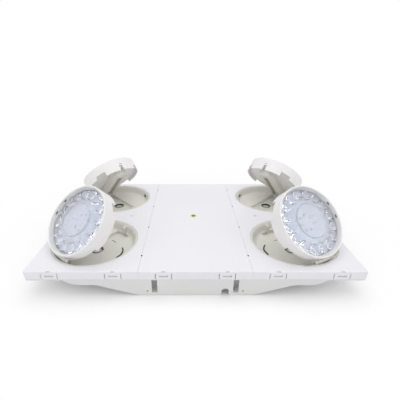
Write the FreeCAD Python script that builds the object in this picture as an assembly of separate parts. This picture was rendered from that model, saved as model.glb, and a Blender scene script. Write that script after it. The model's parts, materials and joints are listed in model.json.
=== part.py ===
import FreeCAD, Part
import math
import os

V = FreeCAD.Vector

# Millimetres. The face lies in the plane z = 0 while the pieces are made, +Z out of the face,
# and every piece is raised by the depth when it is written, so the back stands on z = 0.

# Face panels
face_length = 420.0
face_width = 284.0
depth = 38.0
panel_count = 3
seam_gap = 0.12
seam_bevel = 0.25
sheet = 2.6
skirt_wall = 2.4
skirt_height = 11.5
skirt_spare = 0.5
edge_round = 1.4
corner_round = 1.8
well_bevel = 0.4
panel_length = face_length / panel_count

# Snap clips in the front and back skirts
clip_offset = 39.0
tongue_width = 19.0
slit_width = 0.9
slit_top = -3.2
window_width = 11.0
window_height = 2.6
window_z = -7.0
top_notch_width = 5.0
top_notch_depth = 2.0
catch_gap = 0.3
catch_root = 0.2
catch_inset = 1.0

# Small holes in the face
seam_hole_radius = 1.3
seam_hole_y = (36.5, 109.5)
mark_slot = (5.0, 1.5)
mark_slot_offset = 37.0

# Back housing
wall = 2.4
fit_gap = 0.4
rim_step = 0.8
block_round = 1.0
floor_half = 73.0
wing_start = 124.0
wing_end = 143.0
wing_bottom = -22.0
wing_tip = 168.0
bend_round = 18.0
tray_bottom = -13.9
pan_top_radius = 63.0
pan_bottom_radius = 56.0
spring_slot_x = 51.0
spring_slot_width = 7.0
spring_slot_top = -13.5
spring_slot_bottom = -33.5
dimple_x = 60.0
dimple_z = -31.0
dimple_radius = 1.2
arch_x = 37.6
arch_width = 9.4
arch_top = -27.0
mount_hole_x = 60.0
mount_hole_y = 125.0
mount_hole_radius = 2.3
mount_pad_radius = 7.0
mount_pad_height = 2.0
boss_sink = 0.5
opening_reach = 10.0
knockout_x = 30.0
knockout_y = -100.0
knockout_radius = 11.0
knockout_groove = (1.2, 0.8)

# Wells and lamp units: side in x, side in y, direction of the hinge in degrees
well_x = 141.0
well_y = 72.3
units = {
    "front_left": (-1, -1, -129.0),
    "front_right": (1, -1, -62.0),
    "back_left": (-1, 1, 134.0),
    "back_right": (1, 1, 45.5),
}
rest_tilt = 45.0

# Swivelling cup
lip_radius = 59.0
lip_height = 1.4
lip_gap = 0.3
lip_bevel = 0.4
neck_radius = 57.3
neck_gap = 0.4
neck_bottom = -6.5
rim_inner = 57.6
throat_radius = 55.2
throat_z = -2.6
floor_radius = 51.2
floor_z = -12.6
floor_round = 5.0
cup_wall = 2.0
under_radius = 53.0
trough_half = 13.5
trough_depth = 4.4
keel_wall = 1.6
trough_reach = 50.0
wire_hole_radius = 8.0
latch_slot = (-29.0, 1.6, 9.0)
side_window = (11.0, -11.2, -5.6)
side_window_turn = 15.0
side_window_depth = (48.0, 64.0)
collar_width = 4.3
collar_bottom = -4.6
ring_width = 2.7
ring_height = 1.7
ring_gap = 0.1

# Hinge of the lamp head
hinge_r = 50.5
hinge_z = -0.5
pin_radius = 1.5
pin_fit = 0.05
pin_head_radius = 2.4
pin_head = 1.0
knuckle_radius = 4.2
knuckle_half = 11.4
ear_radius = 4.0
ear_inner = 12.2
ear_width = 4.0
ear_back = 48.6
ear_sink = 1.0
hinge_window_inner = 45.5
hinge_window_bottom = -9.6
rib_half = 1.5
rib_inner = 48.2

# Lamp head, in its closed position
shell_radius = 49.3
shell_wall = 1.8
shell_bottom = -7.4
shell_top = 13.0
shell_round = 0.7
tab_bottom = -10.0
tab_half_angle = 35.0
skirt_cut_angle = 22.0
skirt_cut_x = 22.0
back_bottom = -2.0
back_thick = 2.0
ledge_width = 2.2
ledge_height = 1.6
lens_bottom = 5.5
lens_thick = 2.0
lens_gap = 0.1
lens_disc_radius = 27.0
lens_disc_top = 8.9
lens_disc_round = 0.6
dome_radius = 5.3
dome_height = 1.4
bezel_inner = 45.0
bezel_mouth = 46.8
bezel_top = 12.3
bezel_slot = (4.5, 8.9, 10.9)
bezel_slot_depth = 1.0
bezel_slot_angles = (84.0, 109.0, -84.0, -109.0)
latch_notch_half = 3.0
latch_notch_top = 3.0
latch_notch_inner = 44.0
hinge_notch_half = 18.2
hinge_notch_x = 44.0
hinge_notch_top = 4.6
board_radius = 43.6
board_bottom = 0.0
board_thick = 1.6
led_count = 16
led_ring = 39.4
led_size = 3.4
led_height = 0.9
cone_small = 2.4
cone_large = 5.5
cone_clear = 0.4

# Arm under the lamp head
arm_half = 12.0
arm_bottom = -15.5
arm_end = -38.0
arm_corner = 5.0
arm_round = 1.5
web_half = 11.0
web_heel = (47.0, -12.0)
channel_half = 4.8
channel_top = -7.0
channel_end = -28.0
channel_slope = 5.0
screw_x = (-14.0, 20.0)
screw_radius = 1.4
screw_head_radius = 2.8
screw_head = 1.6
screw_bite = 1.5

# Test button and its light ring
button_radius = 3.0
button_gap = 0.3
button_proud = 0.8
button_travel = 1.5
button_round = 0.6
button_skirt = 2.0
ring_radius = 6.0
ring_flange = 8.0
ring_flange_height = 1.4
ring_tube_bottom = -9.0
ring_proud = 0.4
ring_round = 0.3
stem_radius = 2.0

# Electronics in the deep middle
board_size = (104.0, 84.0, 1.6)
board_top = -20.0
post_radius = 3.4
post_inset = 5.0
switch_size = (6.2, 6.2, 3.6)
transformer_size = (30.0, 26.0, 16.0)
transformer_at = (-30.0, 18.0)
transformer_core = (8.0, 4.0)
terminal_size = (38.0, 14.0, 14.0)
terminal_at = (21.0, -28.0)
terminal_poles = 4
terminal_hole = (5.0, 6.0)
terminal_sill = 2.0
cell_radius = 11.2
cell_length = 48.0
cell_count = 5
cell_pitch = 22.0
battery_y = 88.0
strap_width = 16.0
strap_thick = 1.6
strap_foot = 12.0
strap_post_height = 5.0
strap_gap = 1.0
inner_screw_radius = 1.5
inner_screw_head_radius = 2.8
inner_screw_head = 1.8
inner_screw_length = 6.0


def box(x0, x1, y0, y1, z0, z1):
    return Part.makeBox(x1 - x0, y1 - y0, z1 - z0, V(x0, y0, z0))


def disc(radius, z0, z1, x=0.0, y=0.0):
    return Part.makeCylinder(radius, z1 - z0, V(x, y, z0))


def ring(inner, outer, z0, z1, x=0.0, y=0.0):
    return disc(outer, z0, z1, x, y).cut(disc(inner, z0, z1, x, y))


def bar_y(radius, y0, y1, x, z):
    return Part.makeCylinder(radius, y1 - y0, V(x, y0, z), V(0, 1, 0))


def prism_y(points, y0, y1):
    corners = [V(x, y0, z) for x, z in points]
    face = Part.Face(Part.makePolygon(corners + corners[:1]))
    return face.extrude(V(0, y1 - y0, 0))


def spin(points):
    corners = [V(r, 0, z) for r, z in points]
    face = Part.Face(Part.makePolygon(corners + corners[:1]))
    return face.revolve(V(0, 0, 0), V(0, 0, 1), 360)


def flat_edges(shape, z):
    return [e for e in shape.Edges if max(abs(e.BoundBox.ZMin - z), abs(e.BoundBox.ZMax - z)) < 1e-4]


def join(shapes):
    first, *rest = shapes
    return first.multiFuse(rest).removeSplitter() if rest else first


def save(node, shape):
    raised = shape.copy()
    raised.translate(V(0, 0, depth))
    raised.exportStep("parts/" + node + ".step")


def wells():
    return [(sx * well_x, sy * well_y) for sx, sy, azimuth in units.values()]


def clip_places():
    centers = [(i - (panel_count - 1) / 2) * panel_length for i in range(panel_count)]
    return [(c + d, side) for c in centers for d in (-clip_offset, clip_offset) for side in (-1, 1)]


def at_rim(x_half, side, x, inward, outward, z0, z1):
    y0, y1 = sorted((side * (face_width / 2 - inward), side * (face_width / 2 + outward)))
    return box(x - x_half, x + x_half, y0, y1, z0, z1)


# Face panels: one rounded lid, pierced and then parted at the seams
def rounded_lid():
    lid = box(-face_length / 2, face_length / 2, -face_width / 2, face_width / 2, -skirt_height, 0)
    upright = [e for e in lid.Edges if abs(e.tangentAt(e.FirstParameter).z) > 0.9]
    lid = lid.makeFillet(corner_round, upright)
    top = [e for e in lid.Edges if all(abs(v.Z) < 1e-6 for v in e.Vertexes)]
    lid = lid.makeFillet(edge_round, top)
    inside = box(
        -face_length / 2 + skirt_wall, face_length / 2 - skirt_wall,
        -face_width / 2 + skirt_wall, face_width / 2 - skirt_wall,
        -skirt_height, -sheet,
    )
    return lid.cut(inside)


def clip_cuts(x, side):
    half = window_width / 2
    slit_x = (tongue_width + slit_width) / 2
    reach = skirt_wall + skirt_spare
    window = at_rim(half, side, x, reach, 1, window_z - window_height / 2, window_z + window_height / 2)
    notch = at_rim(top_notch_width / 2, side, x, top_notch_depth, 1, -sheet, 1)
    slits = [at_rim(slit_width / 2, side, x + s * slit_x, skirt_wall, 1, -skirt_height - 1, slit_top)
             for s in (-1, 1)]
    return [window, notch] + slits


def face_cuts():
    cuts = []
    for x, y in wells():
        mouth = lip_radius + lip_gap
        cuts.append(disc(mouth, -lip_height - ring_gap, 1, x, y))
        cuts.append(Part.makeCone(mouth, mouth + well_bevel + 1, well_bevel + 1, V(x, y, -well_bevel)))
        cuts.append(disc(neck_radius + neck_gap, -depth, 1, x, y))
    for x, side in clip_places():
        cuts += clip_cuts(x, side)
    for x in (-panel_length / 2, panel_length / 2):
        cuts += [disc(seam_hole_radius, -sheet - 1, 1, x, s * y) for y in seam_hole_y for s in (-1, 1)]
        half = seam_gap / 2 + seam_bevel
        cuts.append(prism_y([(x - half - 1, 1), (x + half + 1, 1), (x, -half)], -face_width, face_width))
    for side in (-1, 1):
        for offset in (-mark_slot_offset, mark_slot_offset):
            x = side * panel_length + offset
            cuts.append(box(x - mark_slot[0] / 2, x + mark_slot[0] / 2,
                            -mark_slot[1] / 2, mark_slot[1] / 2, -sheet - 1, 1))
    cuts.append(disc(ring_radius, -sheet - 1, 1))
    return cuts


def face_panels():
    bore = neck_radius + neck_gap
    collars = [ring(bore, bore + collar_width, collar_bottom, -sheet, x, y) for x, y in wells()]
    lid = join([rounded_lid()] + collars).cut(Part.makeCompound(face_cuts()))
    for i, name in enumerate(("left_panel", "center_panel", "right_panel")):
        x0 = -face_length / 2 + i * panel_length
        bay = box(x0 + (seam_gap / 2 if i else -1), x0 + panel_length - (seam_gap / 2 if i < 2 else -1),
                  -face_width, face_width, -depth, 1)
        save(name, lid.common(bay).Solids[0])


# Back housing: deep middle, shallow tray behind the rim, and a round pan under each well
def tangent_arc(start, end):
    across, up = end.x - start.x, end.z - start.z
    radius = (across ** 2 + up ** 2) / (2 * up)
    half_turn = math.atan2(across, radius - up) / 2
    middle = start + V(radius * math.sin(half_turn), 0, radius * (1 - math.cos(half_turn)))
    return Part.Arc(start, middle, end).toShape()


def middle_block(inset, y_half):
    lift, narrow = V(0, 0, inset), V(-inset / 2, 0, 0)
    floor_end = V(floor_half, 0, -depth) + lift + narrow
    bend = V(wing_start, 0, wing_bottom) + lift + narrow
    flat_end = V(wing_end, 0, wing_bottom) + lift + narrow
    tip = V(wing_tip - inset, 0, -skirt_height)
    edges = [Part.makeLine(V(0, 0, floor_end.z), floor_end), Part.makeLine(floor_end, bend),
             Part.makeLine(bend, flat_end), tangent_arc(flat_end, tip),
             Part.makeLine(tip, V(0, 0, tip.z)), Part.makeLine(V(0, 0, tip.z), V(0, 0, floor_end.z))]
    half = Part.Face(Part.Wire(edges))
    half.translate(V(0, -y_half, 0))
    right = half.extrude(V(0, 2 * y_half, 0))
    bends = [e for e in right.Edges
             if min(abs(e.CenterOfMass.x - floor_end.x), abs(e.CenterOfMass.x - bend.x)) < 0.1
             and abs(e.CenterOfMass.y) < 0.1]
    right = right.makeFillet(bend_round, bends)
    return join([right, right.mirror(V(0, 0, 0), V(1, 0, 0))])


def pan(inset, x, y):
    bottom = wing_bottom + inset
    return Part.makeCone(pan_bottom_radius - inset, pan_top_radius - inset,
                         tray_bottom + inset - bottom, V(x, y, bottom))


def housing_block():
    x_rim, y_rim = face_length / 2 - rim_step, face_width / 2 - rim_step
    x_nest, y_nest = (size / 2 - skirt_wall - fit_gap for size in (face_length, face_width))
    middle = middle_block(0, y_rim)
    brink = [e for e in middle.Edges if abs(e.BoundBox.YMin) > y_rim - 1e-4 and e.BoundBox.YLength < 1e-4
             and e.BoundBox.ZMax < tray_bottom]
    blocks = [
        middle.makeFillet(block_round, brink),
        box(-x_rim, x_rim, -y_rim, y_rim, tray_bottom, -skirt_height),
        box(-x_nest, x_nest, -y_nest, y_nest, -skirt_height, -sheet),
    ]
    return join(blocks + [pan(0, x, y) for x, y in wells()])


def housing_room():
    x_in, y_in = (size / 2 - skirt_wall - fit_gap - wall for size in (face_length, face_width))
    rooms = [
        middle_block(wall, y_in),
        box(-x_in, x_in, -y_in, y_in, tray_bottom + wall, 0),
    ]
    return join(rooms + [pan(wall, x, y) for x, y in wells()])


def wall_openings():
    outer, inward = 1, opening_reach
    cuts = []
    for side in (-1, 1):
        for s in (-1, 1):
            cuts.append(at_rim(spring_slot_width / 2, side, s * spring_slot_x, inward, outer,
                               spring_slot_bottom, spring_slot_top))
            y0 = side * face_width / 2 - (0 if side < 0 else inward)
            cuts.append(bar_y(dimple_radius, y0, y0 + inward, s * dimple_x, dimple_z))
    spring_line = arch_top - arch_width / 2
    cuts.append(at_rim(arch_width / 2, -1, arch_x, inward, outer, -depth - 1, spring_line))
    cuts.append(bar_y(arch_width / 2, -face_width / 2 - 1, -face_width / 2 + inward, arch_x, spring_line))
    return cuts


def catches():
    half_x = window_width / 2 - catch_gap
    half_z = window_height / 2 - catch_gap
    nest = skirt_wall + fit_gap
    return [at_rim(half_x, side, x, nest + catch_root, -catch_inset, window_z - half_z, window_z + half_z)
            for x, side in clip_places()]


def board_posts():
    x, y = board_size[0] / 2 - post_inset, board_size[1] / 2 - post_inset
    return [(sx * x, sy * y) for sx in (-1, 1) for sy in (-1, 1)]


def strap_holes():
    x = (cell_count * cell_pitch + strap_foot) / 2 + strap_gap
    return [(-x, battery_y), (x, battery_y)]


def screw_places():
    strap_top = -depth + wall + strap_post_height + strap_thick
    return [(x, y, board_top) for x, y in board_posts()] + [(x, y, strap_top) for x, y in strap_holes()]


def back_housing():
    inner_floor = -depth + wall
    root = inner_floor - boss_sink
    board_bottom_z = board_top - board_size[2]
    holes = [(sx * mount_hole_x, sy * mount_hole_y) for sx in (-1, 1) for sy in (-1, 1)]
    body = housing_block().cut(housing_room())
    body = join([body] + catches()
                + [disc(post_radius, root, board_bottom_z, x, y) for x, y in board_posts()]
                + [disc(post_radius, root, inner_floor + strap_post_height, x, y) for x, y in strap_holes()]
                + [disc(mount_pad_radius, root, inner_floor + mount_pad_height, x, y) for x, y in holes])
    cuts = wall_openings() + [disc(mount_hole_radius, -depth - 1, 0, x, y) for x, y in holes]
    cuts += [disc(inner_screw_radius, z - inner_screw_length, 0, x, y) for x, y, z in screw_places()]
    groove, groove_depth = knockout_groove
    cuts += [ring(knockout_radius, knockout_radius + groove, -depth - 1, -depth + groove_depth,
                  s * knockout_x, knockout_y) for s in (-1, 1)]
    save("back_housing", body.cut(Part.makeCompound(cuts)))


# Swivelling cup with the hinge ears, and the ring that keeps it in the panel
def cup_outside():
    return [(neck_radius, -lip_height), (neck_radius, neck_bottom), (under_radius, floor_z - cup_wall),
            (0, floor_z - cup_wall)]


def cup_ears():
    ears = []
    for y0 in (ear_inner, -ear_inner - ear_width):
        ears.append(bar_y(ear_radius, y0, y0 + ear_width, hinge_r, hinge_z))
        ears.append(box(ear_back, hinge_r + ear_radius, y0, y0 + ear_width, floor_z - ear_sink, hinge_z))
    return ears


def cup_windows(trough_z):
    width, low, high = side_window
    near, far = side_window_depth
    windows = [disc(wire_hole_radius, -depth, trough_z + 1)]
    x, thin, wide = latch_slot
    windows.append(box(x - thin / 2, x + thin / 2, -wide / 2, wide / 2, -depth, trough_z + 1))
    windows.append(box(hinge_window_inner, lip_radius, -ear_inner, ear_inner,
                       hinge_window_bottom, -lip_height))
    for s in (-1, 1):
        y0, y1 = sorted((s * near, s * far))
        window = box(-width / 2, width / 2, y0, y1, low, high)
        window.rotate(V(0, 0, 0), V(0, 0, 1), s * side_window_turn)
        windows.append(window)
    return windows


def cup():
    trough_z = floor_z - trough_depth
    bowl = spin([(0, floor_z), (floor_radius, floor_z), (throat_radius, throat_z), (rim_inner, 0),
                 (lip_radius - lip_bevel, 0), (lip_radius, -lip_bevel), (lip_radius, -lip_height)]
                + cup_outside())
    corner = [e for e in bowl.Edges if abs(e.BoundBox.XMax - floor_radius) < 0.1
              and abs(e.CenterOfMass.z - floor_z) < 0.1 and e.isClosed()]
    bowl = bowl.makeFillet(floor_round, corner)
    keel = box(-lip_radius, lip_radius, -trough_half - keel_wall, trough_half + keel_wall,
               trough_z - keel_wall, floor_z - cup_wall)
    keel = keel.common(disc(trough_reach + keel_wall, -depth, 0))
    channel = box(-lip_radius, lip_radius, -trough_half, trough_half, trough_z, floor_z + 1)
    channel = channel.common(disc(trough_reach, -depth, 0))
    body = join([bowl, keel]).cut(Part.makeCompound([channel] + cup_windows(trough_z)))
    latch = box(-throat_radius, -rib_inner, -rib_half, rib_half, trough_z - boss_sink, throat_z)
    envelope = spin([(0, ear_radius), (neck_radius, ear_radius)] + cup_outside())
    extras = join(cup_ears() + [latch]).common(join([envelope, keel]))
    pin = bar_y(pin_radius, -lip_radius, lip_radius, hinge_r, hinge_z)
    return join([body, extras]).cut(pin)


def cup_ring():
    top = collar_bottom - ring_gap
    return ring(neck_radius, neck_radius + ring_width, top - ring_height, top)


def hinge_pin():
    end = ear_inner + ear_width
    shaft = bar_y(pin_radius, -end, end, hinge_r, hinge_z)
    return join([shaft, bar_y(pin_head_radius, end, end + pin_head, hinge_r, hinge_z)])


# Lamp head: arm, shell, bezel, lens and the board with its emitters
def arm():
    back = back_bottom
    bar = box(arm_end, hinge_notch_x, -arm_half, arm_half, arm_bottom, back)
    bar = bar.makeFillet(arm_corner, [e for e in bar.Edges if abs(e.BoundBox.XMax - arm_end) < 1e-4
                                      and e.BoundBox.ZLength > 1])
    bar = bar.makeFillet(arm_round, [e for e in flat_edges(bar, arm_bottom)
                                     if e.BoundBox.XMin < hinge_notch_x - 1])
    slant = knuckle_radius * math.sqrt(0.5)
    web = prism_y([(hinge_notch_x, back), (hinge_r - knuckle_radius, hinge_z), (hinge_r, hinge_z),
                   (hinge_r + slant, hinge_z - slant), web_heel, (hinge_notch_x, arm_bottom)],
                  -web_half, web_half)
    channel = prism_y([(channel_end, arm_bottom - 1), (channel_end + channel_slope, channel_top),
                       (lip_radius, channel_top), (lip_radius, arm_bottom - 1)],
                      -channel_half, channel_half)
    knuckle = bar_y(knuckle_radius, -knuckle_half, knuckle_half, hinge_r, hinge_z)
    holes = [bar_y(pin_radius + pin_fit, -lip_radius, lip_radius, hinge_r, hinge_z)]
    holes += [disc(screw_radius, -depth, depth, x) for x in screw_x]
    return join([join([bar, web]).cut(channel), knuckle]).cut(Part.makeCompound(holes))


def arm_screws():
    screws = [join([disc(screw_head_radius, channel_top - screw_head, channel_top, x),
                    disc(screw_radius, channel_top, back_bottom + screw_bite, x)]) for x in screw_x]
    return Part.makeCompound(screws)


def skirt_part(z0, z1, start, span):
    inner, outer = shell_radius - shell_wall, shell_radius
    part = Part.makeCylinder(outer, z1 - z0, V(0, 0, z0), V(0, 0, 1), span).cut(disc(inner, z0, z1))
    part.rotate(V(0, 0, 0), V(0, 0, 1), start)
    return part


def bezel_slots():
    width, low, high = bezel_slot
    far = shell_radius - shell_wall + bezel_slot_depth
    slots = []
    for angle in bezel_slot_angles:
        slot = box(bezel_inner - 1, far, -width / 2, width / 2, low, high)
        slot.rotate(V(0, 0, 0), V(0, 0, 1), angle)
        slots.append(slot)
    return slots


def shell():
    inner = shell_radius - shell_wall
    side = ring(inner, shell_radius, shell_bottom, shell_top)
    side = side.makeFillet(shell_round, flat_edges(side, shell_top))
    back = disc(inner, back_bottom, back_bottom + back_thick)
    ledge = ring(inner - ledge_width, inner, lens_bottom - ledge_height, lens_bottom)
    tab = skirt_part(tab_bottom, shell_bottom, 180 - tab_half_angle, 2 * tab_half_angle)
    reach = 2 * shell_radius
    arch_z = latch_notch_top - latch_notch_half
    cuts = [
        box(-reach, -latch_notch_inner, -latch_notch_half, latch_notch_half, tab_bottom - 1, arch_z),
        Part.makeCylinder(latch_notch_half, reach - latch_notch_inner, V(-reach, 0, arch_z), V(1, 0, 0)),
        box(hinge_notch_x, reach, -hinge_notch_half, hinge_notch_half, shell_bottom - 1, hinge_notch_top),
        box(skirt_cut_x, reach, -reach, reach, shell_bottom - 1, back_bottom),
    ]
    for start in (180 - tab_half_angle - skirt_cut_angle, 180 + tab_half_angle):
        cuts.append(skirt_part(shell_bottom - 1, back_bottom, start, skirt_cut_angle))
    cuts += [disc(screw_radius, back_bottom - 1, back_bottom + screw_bite, x) for x in screw_x]
    return join([side, back, ledge, tab]).cut(Part.makeCompound(cuts + bezel_slots()))


def bezel():
    lens_top = lens_bottom + lens_thick
    outer = shell_radius - shell_wall - lens_gap
    trim = spin([(bezel_inner, lens_top), (outer, lens_top), (outer, bezel_top), (bezel_mouth, bezel_top)])
    return trim.cut(Part.makeCompound(bezel_slots()))


def led_places():
    turn = 2 * math.pi / led_count
    return [(led_ring * math.cos(i * turn), led_ring * math.sin(i * turn)) for i in range(led_count)]


def lens():
    lens_top = lens_bottom + lens_thick
    plate = disc(shell_radius - shell_wall - lens_gap, lens_bottom, lens_top)
    raised = disc(lens_disc_radius, lens_top, lens_disc_top)
    raised = raised.makeFillet(lens_disc_round, flat_edges(raised, lens_disc_top))
    foot = board_bottom + board_thick + led_height + cone_clear
    cones = [Part.makeCone(cone_small, cone_large, lens_bottom - foot, V(x, y, foot))
             for x, y in led_places()]
    bend = (dome_radius ** 2 + dome_height ** 2) / (2 * dome_height)
    top = lens_top + dome_height
    domes = [Part.makeSphere(bend, V(x, y, top - bend)).common(
             disc(dome_radius + 1, lens_top - boss_sink, top + 1, x, y)) for x, y in led_places()]
    return join([plate, raised] + cones + domes)


def led_board():
    return disc(board_radius, board_bottom, board_bottom + board_thick)


def leds():
    z = board_bottom + board_thick
    half = led_size / 2
    return Part.makeCompound([box(x - half, x + half, y - half, y + half, z, z + led_height)
                              for x, y in led_places()])


def lamp_units():
    turning = {"cup": cup(), "cup_ring": cup_ring(), "hinge_pin": hinge_pin()}
    tilting = {"arm": arm(), "arm_screws": arm_screws(), "shell": shell(), "bezel": bezel(),
               "lens": lens(), "led_board": led_board(), "leds": leds()}
    for unit, (side_x, side_y, azimuth) in units.items():
        for piece, shape in (turning | tilting).items():
            placed = shape.copy()
            if piece in tilting:
                placed.rotate(V(hinge_r, 0, hinge_z), V(0, 1, 0), rest_tilt)
            placed.rotate(V(0, 0, 0), V(0, 0, 1), azimuth)
            placed.translate(V(side_x * well_x, side_y * well_y, 0))
            save(unit + "_" + piece, placed)


# Test button in its light ring
def test_button():
    switch_top = board_top + switch_size[2]
    stem_end = switch_top + button_travel + button_gap
    cap = disc(button_radius, -sheet - button_skirt, button_proud)
    cap = cap.makeFillet(button_round, flat_edges(cap, button_proud))
    save("test_button", join([cap, disc(stem_radius, stem_end, -sheet)]))


def indicator_ring():
    bore = button_radius + button_gap
    tube = ring(bore, ring_radius, ring_tube_bottom, ring_proud)
    tube = tube.makeFillet(ring_round, flat_edges(tube, ring_proud))
    flange = ring(bore, ring_flange, -sheet - ring_flange_height, -sheet)
    save("indicator_ring", join([tube, flange]))


# Electronics and battery in the deep middle
def inner_screw(x, y, z):
    return join([disc(inner_screw_head_radius, z, z + inner_screw_head, x, y),
                 disc(inner_screw_radius, z - inner_screw_length, z, x, y)])


def electronics():
    half_x, half_y, thick = board_size[0] / 2, board_size[1] / 2, board_size[2]
    board = box(-half_x, half_x, -half_y, half_y, board_top - thick, board_top)
    holes = [disc(inner_screw_radius, -depth, 0, x, y) for x, y in board_posts()]
    save("control_board", board.cut(Part.makeCompound(holes)))
    sx, sy, sz = switch_size
    save("test_switch", box(-sx / 2, sx / 2, -sy / 2, sy / 2, board_top, board_top + sz))
    tx, ty = transformer_at
    lx, ly, lz = transformer_size
    core_x, core_z = transformer_core
    coil = box(tx - lx / 2 + core_x, tx + lx / 2 - core_x, ty - ly / 2, ty + ly / 2,
               board_top, board_top + lz)
    core = box(tx - lx / 2, tx + lx / 2, ty - ly / 2 + core_z, ty + ly / 2 - core_z,
               board_top, board_top + lz - core_z)
    save("transformer", join([coil, core]))


def terminal_block():
    x, y = terminal_at
    lx, ly, lz = terminal_size
    block = box(x - lx / 2, x + lx / 2, y - ly / 2, y + ly / 2, board_top, board_top + lz)
    pitch = lx / terminal_poles
    wide, high = terminal_hole
    sill = board_top + terminal_sill
    cuts = []
    for i in range(terminal_poles):
        cx = x - lx / 2 + (i + 0.5) * pitch
        cuts.append(box(cx - wide / 2, cx + wide / 2, y - ly / 2 - 1, y, sill, sill + high))
        cuts.append(disc(wide / 2, sill + high, 0, cx, y))
    save("terminal_block", block.cut(Part.makeCompound(cuts)))


def battery():
    floor = -depth + wall
    z = floor + cell_radius
    first = -(cell_count - 1) * cell_pitch / 2
    cells = [bar_y(cell_radius, battery_y - cell_length / 2, battery_y + cell_length / 2,
                   first + i * cell_pitch, z) for i in range(cell_count)]
    save("battery_pack", join(cells))
    half = cell_count * cell_pitch / 2 + strap_gap
    top = floor + 2 * cell_radius
    foot = floor + strap_post_height
    y0, y1 = battery_y - strap_width / 2, battery_y + strap_width / 2
    bridge = box(-half - strap_thick, half + strap_thick, y0, y1, foot, top + strap_thick)
    bridge = bridge.cut(box(-half, half, y0, y1, foot, top))
    feet = [box(x - strap_foot / 2, x + strap_foot / 2, y0, y1, foot, foot + strap_thick)
            for x, y in strap_holes()]
    holes = [disc(inner_screw_radius, -depth, 0, x, y) for x, y in strap_holes()]
    save("battery_strap", join([bridge] + feet).cut(Part.makeCompound(holes)))


def inner_screws():
    save("inner_screws", Part.makeCompound([inner_screw(x, y, z) for x, y, z in screw_places()]))


def main():
    os.makedirs("parts", exist_ok=True)
    face_panels()
    back_housing()
    lamp_units()
    test_button()
    indicator_ring()
    electronics()
    terminal_block()
    battery()
    inner_screws()


main()
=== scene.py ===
import json
from math import cos, pi, radians, sin

import bpy
import numpy as np
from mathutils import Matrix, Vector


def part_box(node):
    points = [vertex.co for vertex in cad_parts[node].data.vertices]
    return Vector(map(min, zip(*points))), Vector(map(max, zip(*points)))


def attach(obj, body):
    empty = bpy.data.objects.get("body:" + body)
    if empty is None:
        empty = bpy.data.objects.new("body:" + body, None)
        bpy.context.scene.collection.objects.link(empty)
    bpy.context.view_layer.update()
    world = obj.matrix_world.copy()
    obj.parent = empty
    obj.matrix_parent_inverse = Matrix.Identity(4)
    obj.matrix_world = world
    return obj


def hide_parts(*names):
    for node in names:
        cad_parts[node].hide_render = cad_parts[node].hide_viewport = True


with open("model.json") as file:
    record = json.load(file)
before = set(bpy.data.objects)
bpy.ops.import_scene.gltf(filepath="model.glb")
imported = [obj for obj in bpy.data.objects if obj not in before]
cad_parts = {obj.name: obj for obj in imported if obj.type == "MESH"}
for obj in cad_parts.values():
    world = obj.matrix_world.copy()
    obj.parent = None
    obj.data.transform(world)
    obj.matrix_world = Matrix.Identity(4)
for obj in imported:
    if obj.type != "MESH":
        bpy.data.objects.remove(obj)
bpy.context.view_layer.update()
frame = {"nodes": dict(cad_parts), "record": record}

record = frame["record"]
joints = {j["name"]: j for j in record["behaviour"]["joints"]}
units = ("front_left", "front_right", "back_left", "back_right")
mm = 0.001
tiny = 1e-6
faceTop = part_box("center_panel")[1].z
print("frame loaded, face at", round(faceTop / mm, 2), "mm")


# Shader maths: a wrapped socket that adds its own Math nodes
class Ink:
    def __init__(self, tree, socket=None):
        self.tree = tree
        self.socket = socket

    # A node of any kind: i0, i1 and so on are sockets by number, other names have _ for a space
    def make(self, kind, setup=None, out=0, **values):
        node = self.tree.nodes.new("ShaderNode" + kind)
        for key, value in (setup or {}).items():
            setattr(node, key, value)
        for key, value in values.items():
            numbered = key[0] == "i" and key[1:].isdigit()
            place = int(key[1:]) if numbered else key.replace("_", " ")
            if isinstance(value, Ink):
                self.tree.links.new(value.socket, node.inputs[place])
            else:
                node.inputs[place].default_value = value
        return Ink(self.tree, node.outputs[out])

    def maths(self, operation, a, b=0.0):
        return self.make("Math", {"operation": operation}, i0=a, i1=b)

    def __add__(self, other):
        return self.maths("ADD", self, other)

    def __sub__(self, other):
        return self.maths("SUBTRACT", self, other)

    def __rsub__(self, other):
        return self.maths("SUBTRACT", other, self)

    def __mul__(self, other):
        return self.maths("MULTIPLY", self, other)

    def __pow__(self, other):
        return self.maths("POWER", self, other)

    def __abs__(self):
        return self.maths("ABSOLUTE", self)

    __radd__ = __add__
    __rmul__ = __mul__

    def over(self, edge, soft):  # 0 below the edge, 1 above it, soft across the band
        return self.make("MapRange", {"clamp": True}, Value=self,
                         From_Min=edge - soft, From_Max=edge + soft)


def blankMaterial(name):
    material = bpy.data.materials.new(name)
    material.use_nodes = True
    tree = material.node_tree
    tree.nodes.clear()
    end = tree.nodes.new("ShaderNodeOutputMaterial")
    return material, Ink(tree), end


def principled(ink, end, **values):
    shader = ink.make("BsdfPrincipled", None, 0, **values)
    ink.tree.links.new(shader.socket, end.inputs["Surface"])


def mixColour(ink, factor, a, b):
    return ink.make("Mix", {"data_type": "RGBA"}, 2, i0=factor, i6=a, i7=b)


def noise(ink, where, scale, detail=2.0, rough=0.5):
    return ink.make("TexNoise", None, "Fac", Vector=where, Scale=scale, Detail=detail, Roughness=rough)


def objectPlace(ink):
    return ink.make("TexCoord", None, "Object")


# Where shade is painted: dark inside the small holes along the panel seams, below the brink
seamHole = {"x": 70.0, "y": (36.5, 109.5), "radius": 1.45, "edgeSoft": 0.05, "brink": 0.35,
            "brinkSoft": 0.1, "paintedShade": (0.035, 0.035, 0.03, 1)}


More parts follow.
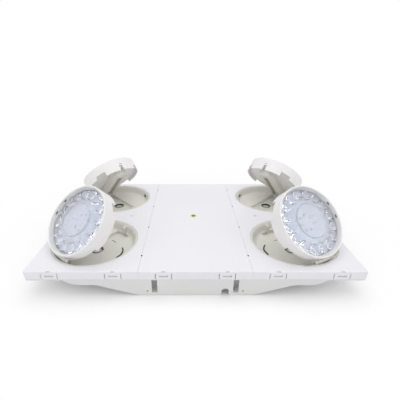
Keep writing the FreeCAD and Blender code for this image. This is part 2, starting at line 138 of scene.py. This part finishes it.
def inSeamHole(ink, where):
    x, y, z = (ink.make("SeparateXYZ", None, axis, Vector=where) for axis in "XYZ")
    near, far = seamHole["y"]
    dx = abs(abs(x) - seamHole["x"] * mm)
    dy = abs(abs(abs(y) - (near + far) / 2 * mm) - (far - near) / 2 * mm)
    away = (dx * dx + dy * dy) ** 0.5
    deep = (faceTop - z).over(seamHole["brink"] * mm, seamHole["brinkSoft"] * mm)
    return (1 - away.over(seamHole["radius"] * mm, seamHole["edgeSoft"] * mm)) * deep


# What the moulded plastics share; a band is the edge and the softness of a mask
mould = {"cloudDetail": 3.0, "cloudBand": (0.5, 0.22), "fleckScale": 0.35, "fleckBand": (0.62, 0.1),
         "grainRough": 0.6, "cloudGloss": 0.10, "grainGloss": 0.12, "glossMiddle": 0.11,
         "bumpCloud": 0.3, "bumpDeep": 0.0002, "ior": 1.5}


# Moulded plastic: cloudy flow marks in the colour, a fine tool grain in the bump, uneven gloss
def mouldedPlastic(name, look):
    material, ink, end = blankMaterial(name)
    where = objectPlace(ink)
    cloud = noise(ink, where, look["cloud"], mould["cloudDetail"])
    fleck = noise(ink, where, look["grain"] * mould["fleckScale"])
    tint = mixColour(ink, cloud.over(*mould["cloudBand"]), look["colour"], look["shade"])
    tint = mixColour(ink, fleck.over(*mould["fleckBand"]) * look["fleck"], tint, look["dust"])
    # The face plastic is painted dark inside the seam holes, a painted shade for their shadowed insides
    if name == "face_plastic":
        tint = mixColour(ink, inSeamHole(ink, where), tint, seamHole["paintedShade"])
    grain = noise(ink, where, look["grain"], rough=mould["grainRough"])
    evenGloss = look["rough"] - mould["glossMiddle"]
    gloss = cloud * mould["cloudGloss"] + grain * mould["grainGloss"] + evenGloss
    bump = ink.make("Bump", None, 0, Strength=look["bump"], Distance=mould["bumpDeep"],
                    Height=grain + cloud * mould["bumpCloud"])
    principled(ink, end, Base_Color=tint, Roughness=gloss, Normal=bump, IOR=mould["ior"])
    return material


plastics = {
    "face_plastic": {"colour": (0.80, 0.797, 0.835, 1), "shade": (0.78, 0.777, 0.815, 1),
                     "dust": (0.72, 0.72, 0.75, 1), "fleck": 0.25, "cloud": 14.0, "grain": 1900.0,
                     "rough": 0.42, "bump": 0.10},
    "housing_plastic": {"colour": (0.725, 0.72, 0.715, 1), "shade": (0.70, 0.695, 0.695, 1),
                        "dust": (0.63, 0.625, 0.62, 1), "fleck": 0.3, "cloud": 11.0, "grain": 1500.0,
                        "rough": 0.5, "bump": 0.14},
    "cup_plastic": {"colour": (0.73, 0.725, 0.665, 1), "shade": (0.705, 0.70, 0.64, 1),
                    "dust": (0.63, 0.625, 0.58, 1), "fleck": 0.25, "cloud": 24.0, "grain": 1700.0,
                    "rough": 0.4, "bump": 0.10},
    "lamp_plastic": {"colour": (0.86, 0.845, 0.845, 1), "shade": (0.835, 0.825, 0.825, 1),
                     "dust": (0.75, 0.74, 0.74, 1), "fleck": 0.25, "cloud": 26.0, "grain": 1900.0,
                     "rough": 0.42, "bump": 0.10},
    "bezel_plastic": {"colour": (0.74, 0.74, 0.745, 1), "shade": (0.71, 0.71, 0.72, 1),
                      "dust": (0.61, 0.61, 0.62, 1), "fleck": 0.2, "cloud": 40.0, "grain": 2200.0,
                      "rough": 0.28, "bump": 0.06},
    "black_plastic": {"colour": (0.035, 0.035, 0.037, 1), "shade": (0.05, 0.05, 0.05, 1),
                      "dust": (0.10, 0.10, 0.10, 1), "fleck": 0.4, "cloud": 60.0, "grain": 2400.0,
                      "rough": 0.45, "bump": 0.15},
    "button_plastic": {"colour": (0.10, 0.105, 0.045, 1), "shade": (0.13, 0.135, 0.06, 1),
                       "dust": (0.2, 0.2, 0.12, 1), "fleck": 0.3, "cloud": 200.0, "grain": 3000.0,
                       "rough": 0.3, "bump": 0.05},
    "coil_tape": {"colour": (0.72, 0.55, 0.12, 1), "shade": (0.62, 0.46, 0.09, 1),
                  "dust": (0.8, 0.66, 0.25, 1), "fleck": 0.3, "cloud": 80.0, "grain": 2500.0,
                  "rough": 0.35, "bump": 0.08},
    "cell_wrap": {"colour": (0.06, 0.13, 0.34, 1), "shade": (0.045, 0.10, 0.28, 1),
                  "dust": (0.12, 0.2, 0.4, 1), "fleck": 0.2, "cloud": 50.0, "grain": 1200.0,
                  "rough": 0.25, "bump": 0.05},
    "circuit_board": {"colour": (0.03, 0.16, 0.07, 1), "shade": (0.05, 0.21, 0.10, 1),
                      "dust": (0.5, 0.42, 0.15, 1), "fleck": 0.5, "cloud": 180.0, "grain": 900.0,
                      "rough": 0.35, "bump": 0.12},
    "lamp_board": {"colour": (0.735, 0.775, 0.885, 1), "shade": (0.715, 0.755, 0.875, 1),
                   "dust": (0.66, 0.71, 0.83, 1), "fleck": 0.35, "cloud": 90.0, "grain": 1100.0,
                   "rough": 0.3, "bump": 0.05},
}
materials = {slot: mouldedPlastic(slot, look) for slot, look in plastics.items()}

# Turned steel: fine rings of brushing round the upright axis, and faint tarnish
steel = {"colour": (0.62, 0.62, 0.63, 1), "tarnished": (0.48, 0.47, 0.46, 1), "tarnish": 90.0,
         "tarnishBand": (0.55, 0.2), "brush": 700.0, "brushRough": 0.7, "detail": 3.0,
         "stretch": (1.0, 1.0, 14.0), "rough": 0.24, "brushGloss": 0.15, "bump": 0.12,
         "bumpDeep": 0.0001}


def steelMaterial(name):
    material, ink, end = blankMaterial(name)
    where = objectPlace(ink)
    stretched = ink.make("Mapping", None, 0, Vector=where, Scale=steel["stretch"])
    brush = noise(ink, stretched, steel["brush"], steel["detail"], steel["brushRough"])
    tarnish = noise(ink, where, steel["tarnish"], steel["detail"])
    tint = mixColour(ink, tarnish.over(*steel["tarnishBand"]), steel["colour"], steel["tarnished"])
    gloss = brush * steel["brushGloss"] + steel["rough"]
    bump = ink.make("Bump", None, 0, Strength=steel["bump"], Distance=steel["bumpDeep"], Height=brush)
    principled(ink, end, Base_Color=tint, Metallic=1.0, Roughness=gloss, Normal=bump)
    return material


# Clear moulded lens: a cold tint, faint flow haze, see-through in the flat crown, fuller in the
# lenslets, and painted dark along the crown's brink, a painted shade for the dark line at its step
clear = {"colour": (0.95, 0.97, 1.0, 1), "brinkShade": (0.22, 0.26, 0.32, 1), "haze": 120.0,
         "rough": 0.035, "hazeGloss": 0.06, "crownAlpha": 0.3, "lensletAlpha": 0.6, "brinkAlpha": 0.5,
         "ior": 1.49}


def clearMaterial(name):
    material, ink, end = blankMaterial(name)
    haze = noise(ink, objectPlace(ink), clear["haze"])
    lenslet = ink.make("Attribute", {"attribute_name": "lenslet"}, "Fac")
    brink = ink.make("Attribute", {"attribute_name": "brink"}, "Fac")
    # Painted shade: the lens colour turns dark along the crown's brink
    tint = mixColour(ink, brink, clear["colour"], clear["brinkShade"])
    gloss = haze * clear["hazeGloss"] + clear["rough"]
    alpha = lenslet * clear["lensletAlpha"] + brink * clear["brinkAlpha"] + clear["crownAlpha"]
    principled(ink, end, Base_Color=tint, Roughness=gloss, IOR=clear["ior"], Transmission_Weight=1.0,
               Alpha=alpha)
    return material


# Translucent yellow-green ring that pipes light round the button
lightRing = {"colour": (0.78, 0.82, 0.44, 1), "shade": (0.71, 0.76, 0.36, 1), "cloud": 400.0,
             "cloudBand": (0.5, 0.25), "rough": 0.2, "cloudGloss": 0.1, "scatter": 0.3,
             "scatterRadius": (0.002, 0.002, 0.001)}


def lightRingMaterial(name):
    material, ink, end = blankMaterial(name)
    cloud = noise(ink, objectPlace(ink), lightRing["cloud"])
    tint = mixColour(ink, cloud.over(*lightRing["cloudBand"]), lightRing["colour"], lightRing["shade"])
    gloss = cloud * lightRing["cloudGloss"] + lightRing["rough"]
    principled(ink, end, Base_Color=tint, Roughness=gloss, Subsurface_Weight=lightRing["scatter"],
               Subsurface_Radius=lightRing["scatterRadius"], Subsurface_Scale=1.0)
    return material


# Phosphor of an emitter: pale yellow with a fine grain
phosphor = {"colour": (0.93, 0.91, 0.74, 1), "shade": (0.90, 0.86, 0.62, 1), "grain": 2500.0,
            "rough": 0.35}


def emitterMaterial(name):
    material, ink, end = blankMaterial(name)
    grain = noise(ink, objectPlace(ink), phosphor["grain"])
    tint = mixColour(ink, grain, phosphor["colour"], phosphor["shade"])
    principled(ink, end, Base_Color=tint, Roughness=phosphor["rough"])
    return material


materials["steel"] = steelMaterial("steel")
materials["clear_lens"] = clearMaterial("clear_lens")
materials["light_ring"] = lightRingMaterial("light_ring")
materials["emitter"] = emitterMaterial("emitter")

for entry in record["subparts"]:
    node = frame["nodes"][entry["node"]]
    node.data.materials.clear()
    node.data.materials.append(materials[entry["material_slot"]])
print("finishes on", len(record["subparts"]), "nodes")

# Lamp units: a point is given in the closed position, x towards the hinge, z = 0 at the face, and is
# lifted by the tilt at rest if it is on the head, or by nothing if it is on the cup
hinge = {"restTilt": 45.0}


def unitPlacer(unit, lift):
    well = np.array(joints[unit + "_swivel_turn"]["pos_m"])
    pin = np.array(joints[unit + "_lamp_tilt"]["pos_m"])
    reach = np.hypot(*(pin - well)[:2])
    out = (pin - well)[:2] / reach
    turn = np.array([[out[0], -out[1], 0], [out[1], out[0], 0], [0, 0, 1]])
    tilt = radians(lift)
    lean = np.array([[cos(tilt), 0, sin(tilt)], [0, 1, 0], [-sin(tilt), 0, cos(tilt)]])
    knuckle = np.array([reach, 0, pin[2] - faceTop])

    def place(points):
        leaned = (np.asarray(points, float) - knuckle) @ lean.T + knuckle
        return leaned @ turn.T + np.array([well[0], well[1], faceTop])

    return place


def addPiece(name, points, faces, body, slot, smooth=True):
    mesh = bpy.data.meshes.new(name)
    mesh.from_pydata(np.asarray(points, float).tolist(), [], [list(f) for f in faces])
    mesh.polygons.foreach_set("use_smooth", np.full(len(mesh.polygons), smooth))
    mesh.update()
    mesh.materials.append(materials[slot])
    piece = bpy.data.objects.new(name, mesh)
    bpy.context.scene.collection.objects.link(piece)
    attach(piece, body)
    return piece


def evenTurns(count):  # angles that share out one full turn
    return 2 * pi * np.arange(count) / count


# Faces of a round skin: a pole, then rings of equal count, joined ring to ring, and if shut a last pole
def roundFaces(rings, count, first, flip, shut=False):
    around = np.arange(count)
    after = (around + 1) % count
    fan = np.stack([np.full(count, first), first + 1 + around, first + 1 + after], 1)
    lower = first + 1 + count * np.arange(rings - 1)[:, None]
    upper = lower + count
    quads = np.stack([lower + around, upper + around, upper + after, lower + after], 2).reshape(-1, 4)
    if shut:
        edge = first + 1 + count * (rings - 1)
        lastFan = np.stack([np.full(count, edge + count), edge + after, edge + around], 1)
        fan = np.vstack([fan, lastFan])
    if flip:
        fan, quads = fan[:, ::-1], quads[:, ::-1]
    return fan.tolist() + quads.tolist()


# Faces of a ring-shaped skin: the rows of a closed profile, each once round
def loopFaces(rows, count):
    ring = np.arange(rows * count).reshape(rows, count)
    ahead, aside = np.roll(ring, -1, 0), np.roll(ring, -1, 1)
    return np.stack([ring, ahead, np.roll(ahead, -1, 1), aside], 2).reshape(-1, 4).tolist()


# A closed disc whose top and bottom are heights over radius and angle, joined by a wall at the edge
def discShell(radii, count, topOf, bottomOf):
    r, a = np.meshgrid(radii, evenTurns(count), indexing="ij")
    flat = np.stack([r * np.cos(a), r * np.sin(a)], 2).reshape(-1, 2)
    middle = np.zeros((1, 1))
    points, faces, total = [], [], 0
    for heightOf, flip in ((topOf, False), (bottomOf, True)):
        z = heightOf(r, a).reshape(-1, 1)
        pole = [[0.0, 0.0, float(heightOf(middle, middle)[0, 0])]]
        points.append(np.vstack([pole, np.hstack([flat, z])]))
        faces += roundFaces(len(radii), count, total, flip)
        total += len(points[-1])
    half = total // 2
    edge = half - count + np.arange(count)
    nextEdge = half - count + (np.arange(count) + 1) % count
    faces += np.stack([edge, edge + half, nextEdge + half, nextEdge], 1).tolist()
    return np.vstack(points), faces


# A low closed block: rings of a superellipse from the top down, one for each row of share of the half
# sizes, height and roundness, which turns the ring from square (0) to round (1)
def blockSkin(halfX, halfY, rows, spokes, power=6):
    scale, z, roundness = np.array(rows).T[:, :, None]
    angle = evenTurns(spokes)
    square = (np.abs(np.cos(angle)) ** power + np.abs(np.sin(angle)) ** power) ** (-1 / power)
    reach = scale * (square + (1 - square) * roundness)
    x, y = halfX * reach * np.cos(angle), halfY * reach * np.sin(angle)
    rings = np.stack([x, y, z + 0 * reach], 2).reshape(-1, 3)
    points = np.vstack([[[0.0, 0.0, rows[0][1]]], rings, [[0.0, 0.0, rows[-1][1]]]])
    return points, roundFaces(len(rows), spokes, 0, False, True)


# Rounded oblong: a superellipse round the two half sizes, grown by a margin on every side
def oblong(half, grow, squareness, spokes):
    angle = evenTurns(spokes)
    bulge = 2 / squareness
    across = np.sign(np.cos(angle)) * np.abs(np.cos(angle)) ** bulge * (half[0] + grow)
    along = np.sign(np.sin(angle)) * np.abs(np.sin(angle)) ** bulge * (half[1] + grow)
    return across, along


# One skin at each place (x, y, turn), as one set of points and faces
def repeatSkin(skin, faces, places):
    x, y, turn = np.array(places).T[:, :, None]
    acrossX = np.cos(turn) * skin[:, 0] - np.sin(turn) * skin[:, 1] + x
    acrossY = np.sin(turn) * skin[:, 0] + np.cos(turn) * skin[:, 1] + y
    points = np.stack([acrossX, acrossY, skin[:, 2] + 0 * x], 2).reshape(-1, 3)
    return points, [(np.array(f) + i * len(skin)).tolist() for i in range(len(places)) for f in faces]


def ringPlaces(count, radius, start=0.0):
    turn = start + evenTurns(count)
    return np.stack([radius * np.cos(turn), radius * np.sin(turn), turn], 1)


# Lens: its outline, the lenslets on its front, the collimators on its back, and how fine its grid is
lens = {"radius": 47.4, "edgeRadius": 45.0, "edgeTop": 7.5, "edgeFade": 1.0, "thick": 2.0, "step": 0.6,
        "crownRadius": 23.5, "crownTop": 12.8, "crownRound": 0.35, "brinkWidth": 0.2,
        "count": 16, "ring": 37.2, "padRadius": 7.8, "padHeight": 2.2, "padPower": 0.7, "padNear": 1.5,
        "dimple": 3.0, "dimpleDepth": 1.2, "flutes": 6, "fluteDepth": 0.4,
        "coneRadius": 6.4, "coneFoot": 2.9, "conePower": 0.8, "pocket": 2.2, "pocketDepth": 1.0,
        "hub": 2.0, "hubRings": 12, "roundStart": 0.2, "roundRings": 6, "slopeGap": 0.15,
        "slopeRings": 40, "spokes": 448}


def fromLenslet(r, a):  # distance from the closest lenslet's axis, and the angle round it
    turn = 2 * pi / lens["count"]
    folded = (a + turn / 2) % turn - turn / 2
    outward, sideways = r * np.cos(folded) - lens["ring"], r * np.sin(folded)
    return np.hypot(outward, sideways), np.arctan2(sideways, outward)


def lensSlope(r):  # cone from the foot of the crown down to the flat edge under the bezel
    fall = np.clip((lens["edgeRadius"] - r) / (lens["edgeRadius"] - lens["crownRadius"]), 0, 1)
    return lens["edgeTop"] + (lens["crownTop"] - lens["step"] - lens["edgeTop"]) * fall


# Front of the lens: a flat crown with a rounded brink, and on the slope round it a ring of domes, each
# with a dimple in its middle and shallow flutes, deepest halfway down its sides
def lensTop(r, a):
    over = np.clip(r - lens["crownRadius"] + lens["crownRound"], 0, lens["crownRound"])
    crown = lens["crownTop"] - lens["crownRound"] + np.sqrt(lens["crownRound"] ** 2 - over ** 2)
    d, around = fromLenslet(r, a)
    share = np.clip(d / lens["padRadius"], 0, 1)
    dome = lens["padHeight"] * (1 - share ** 2) ** lens["padPower"]
    flute = lens["fluteDepth"] * np.cos(lens["flutes"] * around) * 4 * share * (1 - share)
    dip = lens["dimpleDepth"] * np.clip(1 - (d / lens["dimple"]) ** 2, 0, 1)
    inEdge = np.clip((lens["edgeRadius"] - r) / lens["edgeFade"], 0, 1)
    slope = lensSlope(r) + (dome + flute - dip) * inEdge
    return np.where(r <= lens["crownRadius"] + tiny, crown, slope)


# Back of the lens: an even wall under the slope, with paraboloid collimators that end in a pocket
def lensBottom(r, a):
    wall = np.where(r <= lens["crownRadius"], lens["crownTop"], lensSlope(r)) - lens["thick"]
    d = fromLenslet(r, a)[0]
    cone = np.clip(1 - (d / lens["coneRadius"]) ** 2, 0, 1) ** lens["conePower"]
    hollow = lens["pocketDepth"] * np.clip(1 - (d / lens["pocket"]) ** 2, 0, 1)
    return wall + (lens["coneFoot"] - wall) * cone + hollow


def lensRadii():  # rings of the crown, of its rounded brink, and of the slope
    crown = np.linspace(lens["hub"], lens["crownRadius"] - lens["crownRound"], lens["hubRings"])
    arc = np.linspace(lens["roundStart"], pi / 2, lens["roundRings"])
    brink = lens["crownRadius"] - lens["crownRound"] * (1 - np.sin(arc))
    slope = np.linspace(lens["crownRadius"] + lens["slopeGap"], lens["radius"], lens["slopeRings"])
    return np.concatenate([crown, brink, slope])


def makeLens(unit, place):
    points, faces = discShell(lensRadii(), lens["spokes"], lensTop, lensBottom)
    piece = addPiece(unit + "_clear_front", place(points * mm), faces, unit + "_lamp", "clear_lens")
    r, a = np.hypot(points[:, 0], points[:, 1]), np.arctan2(points[:, 1], points[:, 0])
    nearness = np.clip(lens["padNear"] - fromLenslet(r, a)[0] / lens["padRadius"], 0, 1)
    # The brink attribute marks the ring that the lens material paints dark, a painted shade at the
    # crown's step
    brink = (np.abs(r - lens["crownRadius"]) < lens["brinkWidth"]).astype(float)
    for label, values in (("lenslet", nearness), ("brink", brink)):
        piece.data.attributes.new(label, "FLOAT", "POINT").data.foreach_set("value", values)
    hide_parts(unit + "_lens")


# Emitters: a square base with bevelled sides under a low round dome
package = {"half": 1.7, "ring": 39.4, "boardTop": 1.6, "baseTop": 2.05, "bevel": 0.12,
           "dome": 0.78, "domeHeight": 0.45, "domeRings": 5, "spokes": 20}


def makeEmitters(unit, place):
    arc = np.linspace(pi / 2, 0, package["domeRings"] + 1)[1:]
    top = package["baseTop"]
    rows = [(package["dome"] * cos(t), top + package["domeHeight"] * sin(t), 1.0) for t in arc]
    rows += [(1 - package["bevel"] / package["half"], top, 0.0), (1.0, top - package["bevel"], 0.0),
             (1.0, package["boardTop"], 0.0)]
    skin, faces = blockSkin(package["half"], package["half"], rows, package["spokes"])
    points, faces = repeatSkin(skin, faces, ringPlaces(lens["count"], package["ring"]))
    piece = addPiece(unit + "_emitters", place(points * mm), faces, unit + "_lamp", "emitter")
    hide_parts(unit + "_leds")


# Small chips on the lamp board, in a ring round its middle
chip = {"half": (1.2, 0.8), "height": 0.7, "bevel": 0.1, "middleShare": 0.5, "topShare": 0.88,
        "count": 7, "ring": 11.0, "start": 0.3, "spokes": 16}


def makeChips(unit, place):
    low = package["boardTop"]
    top = low + chip["height"]
    rows = [(chip["middleShare"], top, 0.0), (chip["topShare"], top, 0.0),
            (1.0, top - chip["bevel"], 0.0), (1.0, low, 0.0)]
    skin, faces = blockSkin(*chip["half"], rows, chip["spokes"])
    points, faces = repeatSkin(skin, faces, ringPlaces(chip["count"], chip["ring"], chip["start"]))
    addPiece(unit + "_board_chips", place(points * mm), faces, unit + "_lamp", "black_plastic")


# Arm screws: a low domed head with a cross recess, looking down out of the arm's channel
screw = {"x": (-14.0, 20.0), "turnPerX": 0.4, "headRadius": 2.8, "headFace": -8.6, "headSeat": -7.0,
         "crown": 0.35, "shaft": 1.4, "shaftEnd": -0.5, "slotHalf": 0.38, "slotReach": 1.5,
         "slotDepth": 0.9, "sideSoft": 0.1, "endSoft": 0.25, "hub": 0.1, "shaftRings": 14,
         "seatGap": 0.02, "faceRadius": 2.6, "faceRings": 10, "roundRadius": 2.72, "spokes": 120}


def screwFace(r, a):  # crowned face, with a cross sunk into it that fades out at its ends
    x, y = np.abs(r * np.cos(a)), np.abs(r * np.sin(a))
    wide, long = np.minimum(x, y), np.maximum(x, y)
    sides = np.clip((screw["slotHalf"] - wide) / screw["sideSoft"], 0, 1)
    ends = np.clip((screw["slotReach"] - long) / screw["endSoft"], 0, 1)
    crown = screw["crown"] * (r / screw["headRadius"]) ** 2
    return screw["headFace"] + crown + screw["slotDepth"] * (sides * ends)


def screwBack(r, a):  # the shaft's end, and the seat of the head round it
    return np.where(r <= screw["shaft"] + tiny, screw["shaftEnd"], screw["headSeat"]) + 0 * a


def makeScrews(unit, place):
    inner = np.linspace(screw["hub"], screw["shaft"], screw["shaftRings"])
    outer = np.linspace(screw["shaft"] + screw["seatGap"], screw["faceRadius"], screw["faceRings"])
    radii = np.concatenate([inner, outer, [screw["roundRadius"], screw["headRadius"]]])
    skin, faces = discShell(radii, screw["spokes"], screwBack, screwFace)
    places = [(x, 0.0, screw["turnPerX"] * x) for x in screw["x"]]
    points, faces = repeatSkin(skin, faces, places)
    piece = addPiece(unit + "_cross_screws", place(points * mm), faces, unit + "_lamp", "steel")
    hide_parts(unit + "_arm_screws")


# Black blocks in the four slots of a bezel, a painted shade for the dark inside of the slots: low
# blocks laid on their side, that look towards the axis
slotShade = {"angles": (84.0, 109.0, -84.0, -109.0), "face": 46.4, "back": 47.9, "middle": 9.9,
        "half": (2.3, 1.05), "faceShare": 0.9, "bevel": 0.12, "spokes": 24}


def makeSlotShade(unit, place):
    rows = [(slotShade["faceShare"], -slotShade["face"], 0.0), (1.0, -slotShade["face"] - slotShade["bevel"], 0.0),
            (1.0, -slotShade["back"], 0.0)]
    skin, faces = blockSkin(*slotShade["half"], rows, slotShade["spokes"])
    skin = np.stack([-skin[:, 2], -skin[:, 0], skin[:, 1] + slotShade["middle"]], 1)
    places = [(0.0, 0.0, radians(angle)) for angle in slotShade["angles"]]
    points, faces = repeatSkin(skin, faces, places)
    addPiece(unit + "_slot_shade_blocks", place(points * mm), faces, unit + "_lamp", "black_plastic")


# Rubber grommet in the wire hole of a cup: a closed profile (radius, height from the face) with two
# flanges and a neck, turned round the axis
grommet = {"profile": ((7.2, -16.45), (8.2, -16.45), (8.6, -16.65), (8.7, -16.98), (7.97, -17.0),
                       (7.97, -18.6), (8.9, -18.62), (8.8, -19.1), (7.2, -19.2), (7.0, -18.9),
                       (7.0, -16.7)), "spokes": 72}


def makeGrommet(unit):
    r, z = np.array(grommet["profile"]).T[:, :, None]
    angle = evenTurns(grommet["spokes"])
    points = np.stack([r * np.cos(angle), r * np.sin(angle), z + 0 * angle], 2).reshape(-1, 3) * mm
    faces = loopFaces(len(grommet["profile"]), grommet["spokes"])
    points += np.array([*joints[unit + "_swivel_turn"]["pos_m"][:2], faceTop])
    addPiece(unit + "_wire_grommet", points, faces, unit + "_swivel", "black_plastic")


# Black strip at the foot of a cup's wall, a painted shade for the shadowed gap under a ledge there,
# mirrored from left to right units: a rounded profile carried along an arc that bends inwards past a
# given angle from the hinge, with its ends drawn in and closed
footShade = {"angles": (91.0, 127.0), "bend": 104.0, "bendPower": 1.5, "inward": 5.5, "radius": 42.3,
         "floor": -12.6, "half": (1.0, 1.2), "squareness": 4.0, "endPower": 8.0, "steps": 33,
         "spokes": 16}


def makeFootShade(unit, place):
    side = 1 if unit.endswith("left") else -1
    share = np.linspace(-1, 1, footShade["steps"] + 2)[1:-1, None]
    angle = np.interp(share, (-1, 1), footShade["angles"])
    bent = np.clip((angle - footShade["bend"]) / (footShade["angles"][1] - footShade["bend"]), 0, 1)
    reach = footShade["radius"] - footShade["inward"] * bent ** footShade["bendPower"]
    middle = reach * np.hstack([np.cos(np.radians(angle)), side * np.sin(np.radians(angle))])
    along = np.gradient(middle, axis=0)
    along /= np.hypot(along[:, :1], along[:, 1:])
    across, upward = oblong(footShade["half"], 0.0, footShade["squareness"], footShade["spokes"])
    drawn = (1 - np.abs(share) ** footShade["endPower"]) ** (1 / footShade["endPower"])
    x = middle[:, :1] + along[:, 1:] * across * drawn
    y = middle[:, 1:] - along[:, :1] * across * drawn
    rings = np.stack([x, y, footShade["floor"] + upward * drawn], 2).reshape(-1, 3)
    points = np.vstack([[[*middle[0], footShade["floor"]]], rings, [[*middle[-1], footShade["floor"]]]])
    faces = roundFaces(footShade["steps"], footShade["spokes"], 0, False, True)
    addPiece(unit + "_floor_shade_strip", place(points * mm), faces, unit + "_swivel", "black_plastic")


# Pocket behind a spring slot: rounded oblong rings from the back of its shell, round the mouth that is
# let into the housing wall, and down inside to its floor
pocket = {"x": 51.0, "wallInside": 136.8, "middle": -23.5, "half": (3.8, 10.3), "shell": 1.0,
          "deep": 7.0, "letIn": 0.2, "corner": 0.8, "squareness": 8.0, "spokes": 48}


def makePockets():
    shell, deep, corner, mouth = pocket["shell"], pocket["deep"], pocket["corner"], -pocket["letIn"]
    rows = np.array([(shell - corner, deep + shell), (shell, deep + shell - corner), (shell, mouth),
                     (0.0, mouth), (0.0, deep - corner), (-corner, deep)])
    grow, inward = rows.T[:, :, None]
    across, upward = oblong(pocket["half"], grow, pocket["squareness"], pocket["spokes"])
    rings = np.stack([across, inward + 0 * across, upward], 2).reshape(-1, 3)
    skin = np.vstack([[[0.0, deep + shell, 0.0]], rings, [[0.0, deep, 0.0]]])
    skin[:, 2] += faceTop / mm + pocket["middle"]
    faces = roundFaces(len(rows), pocket["spokes"], 0, True, True)
    frontAndBack = ((-pocket["wallInside"], 0.0), (pocket["wallInside"], pi))
    places = [(x, y, turn) for x in (-pocket["x"], pocket["x"]) for y, turn in frontAndBack]
    points, faces = repeatSkin(skin, faces, places)
    addPiece("spring_pockets", points * mm, faces, "fixture", "housing_plastic", False)


makePockets()
print("spring pockets made")
for unit in units:
    onLamp, onCup = unitPlacer(unit, hinge["restTilt"]), unitPlacer(unit, 0.0)
    makeLens(unit, onLamp)
    makeEmitters(unit, onLamp)
    makeChips(unit, onLamp)
    makeScrews(unit, onLamp)
    makeSlotShade(unit, onLamp)
    makeGrommet(unit)
    makeFootShade(unit, onCup)
    print("pieces made for", unit)

# Studio: pale floor, white beyond it, soft light from above and in front
studio = {"floorSize": 6.0, "floorColour": (0.93, 0.93, 0.93, 1), "white": (1, 1, 1, 1),
          "fadeStart": 0.16, "fadeEnd": 0.42, "zenith": 1.0, "horizon": 0.40}


def pictureRay(ink):  # 1 for the rays that show the white background: seen, mirrored or through glass
    ray = ink.make("LightPath", None, "Is Camera Ray")
    for kind in ("Is Glossy Ray", "Is Transmission Ray"):
        ray = ink.maths("MAXIMUM", ray, ink.make("LightPath", None, kind))
    return ray


def floorMaterial():
    material, ink, end = blankMaterial("studio_floor")
    far = ink.make("VectorMath", {"operation": "LENGTH"}, "Value", i0=objectPlace(ink))
    fade = ink.make("MapRange", {"interpolation_type": "SMOOTHSTEP"}, Value=far,
                    From_Min=studio["fadeStart"], From_Max=studio["fadeEnd"])
    paper = ink.make("BsdfDiffuse", None, 0, Color=studio["floorColour"])
    white = ink.make("Emission", None, 0, Color=studio["white"], Strength=1.0)
    both = ink.make("MixShader", None, 0, i0=fade * pictureRay(ink), i1=paper, i2=white)
    ink.tree.links.new(both.socket, end.inputs["Surface"])
    return material


def makeFloor():
    half = studio["floorSize"] / 2
    corners = [(-half, -half, 0), (half, -half, 0), (half, half, 0), (-half, half, 0)]
    mesh = bpy.data.meshes.new("floor")
    mesh.from_pydata(corners, [], [(0, 1, 2, 3)])
    mesh.materials.append(floorMaterial())
    floor = bpy.data.objects.new("floor", mesh)
    bpy.context.scene.collection.objects.link(floor)


def makeWorld():
    world = bpy.data.worlds.new("studio")
    bpy.context.scene.world = world
    world.use_nodes = True
    tree = world.node_tree
    tree.nodes.clear()
    ink = Ink(tree)
    up = ink.make("SeparateXYZ", None, "Z", Vector=ink.make("TexCoord", None, "Generated"))
    light = ink.make("MapRange", {"clamp": True}, Value=up, From_Min=0.0, From_Max=1.0,
                     To_Min=studio["horizon"], To_Max=studio["zenith"])
    ray = pictureRay(ink)
    strength = light * (1 - ray) + ray
    back = ink.make("Background", None, 0, Color=studio["white"], Strength=strength)
    end = tree.nodes.new("ShaderNodeOutputWorld")
    tree.links.new(back.socket, end.inputs["Surface"])


# Disc lamps: place and size in metres, power in watts, turn in degrees
lamps = {
    "overhead": {"at": (0.0, 0.1, 1.3), "size": 1.4, "power": 4.6, "turn": (0, 0, 0)},
    "front": {"at": (0.85, -1.0, 0.65), "size": 1.0, "power": 1.85, "turn": (63.6, 0, 40.4)},
    "fill": {"at": (-0.85, -1.0, 0.65), "size": 1.0, "power": 1.85, "turn": (63.6, 0, -40.4)},
}


def makeLamps():
    for name, lamp in lamps.items():
        light = bpy.data.lights.new(name, "AREA")
        light.energy = lamp["power"]
        light.size = lamp["size"]
        light.shape = "DISK"
        holder = bpy.data.objects.new(name, light)
        holder.location = lamp["at"]
        holder.rotation_euler = [radians(angle) for angle in lamp["turn"]]
        bpy.context.scene.collection.objects.link(holder)


# Camera: place in mm from the middle of the face, pitch down in degrees, lens in pixels of the picture
camera = {"at": (-9.74, -411.9, 223.2), "pitch": 25.22, "focalPixels": 280.6, "imagePixels": 400,
          "centerX": 187.5, "sensor": 36.0, "nearClip": 0.01}


def makeCamera():
    data = bpy.data.cameras.new("camera")
    data.sensor_width = camera["sensor"]
    data.lens = camera["focalPixels"] / camera["imagePixels"] * data.sensor_width
    data.shift_x = (camera["imagePixels"] / 2 - camera["centerX"]) / camera["imagePixels"]
    data.clip_start = camera["nearClip"]
    holder = bpy.data.objects.new("camera", data)
    x, y, z = camera["at"]
    holder.location = (x * mm, y * mm, z * mm + faceTop)
    holder.rotation_euler = (radians(90 - camera["pitch"]), 0, 0)
    bpy.context.scene.collection.objects.link(holder)
    bpy.context.scene.camera = holder


makeFloor()
makeWorld()
makeLamps()
makeCamera()
bpy.context.scene.view_settings.view_transform = "Standard"
print("studio ready")
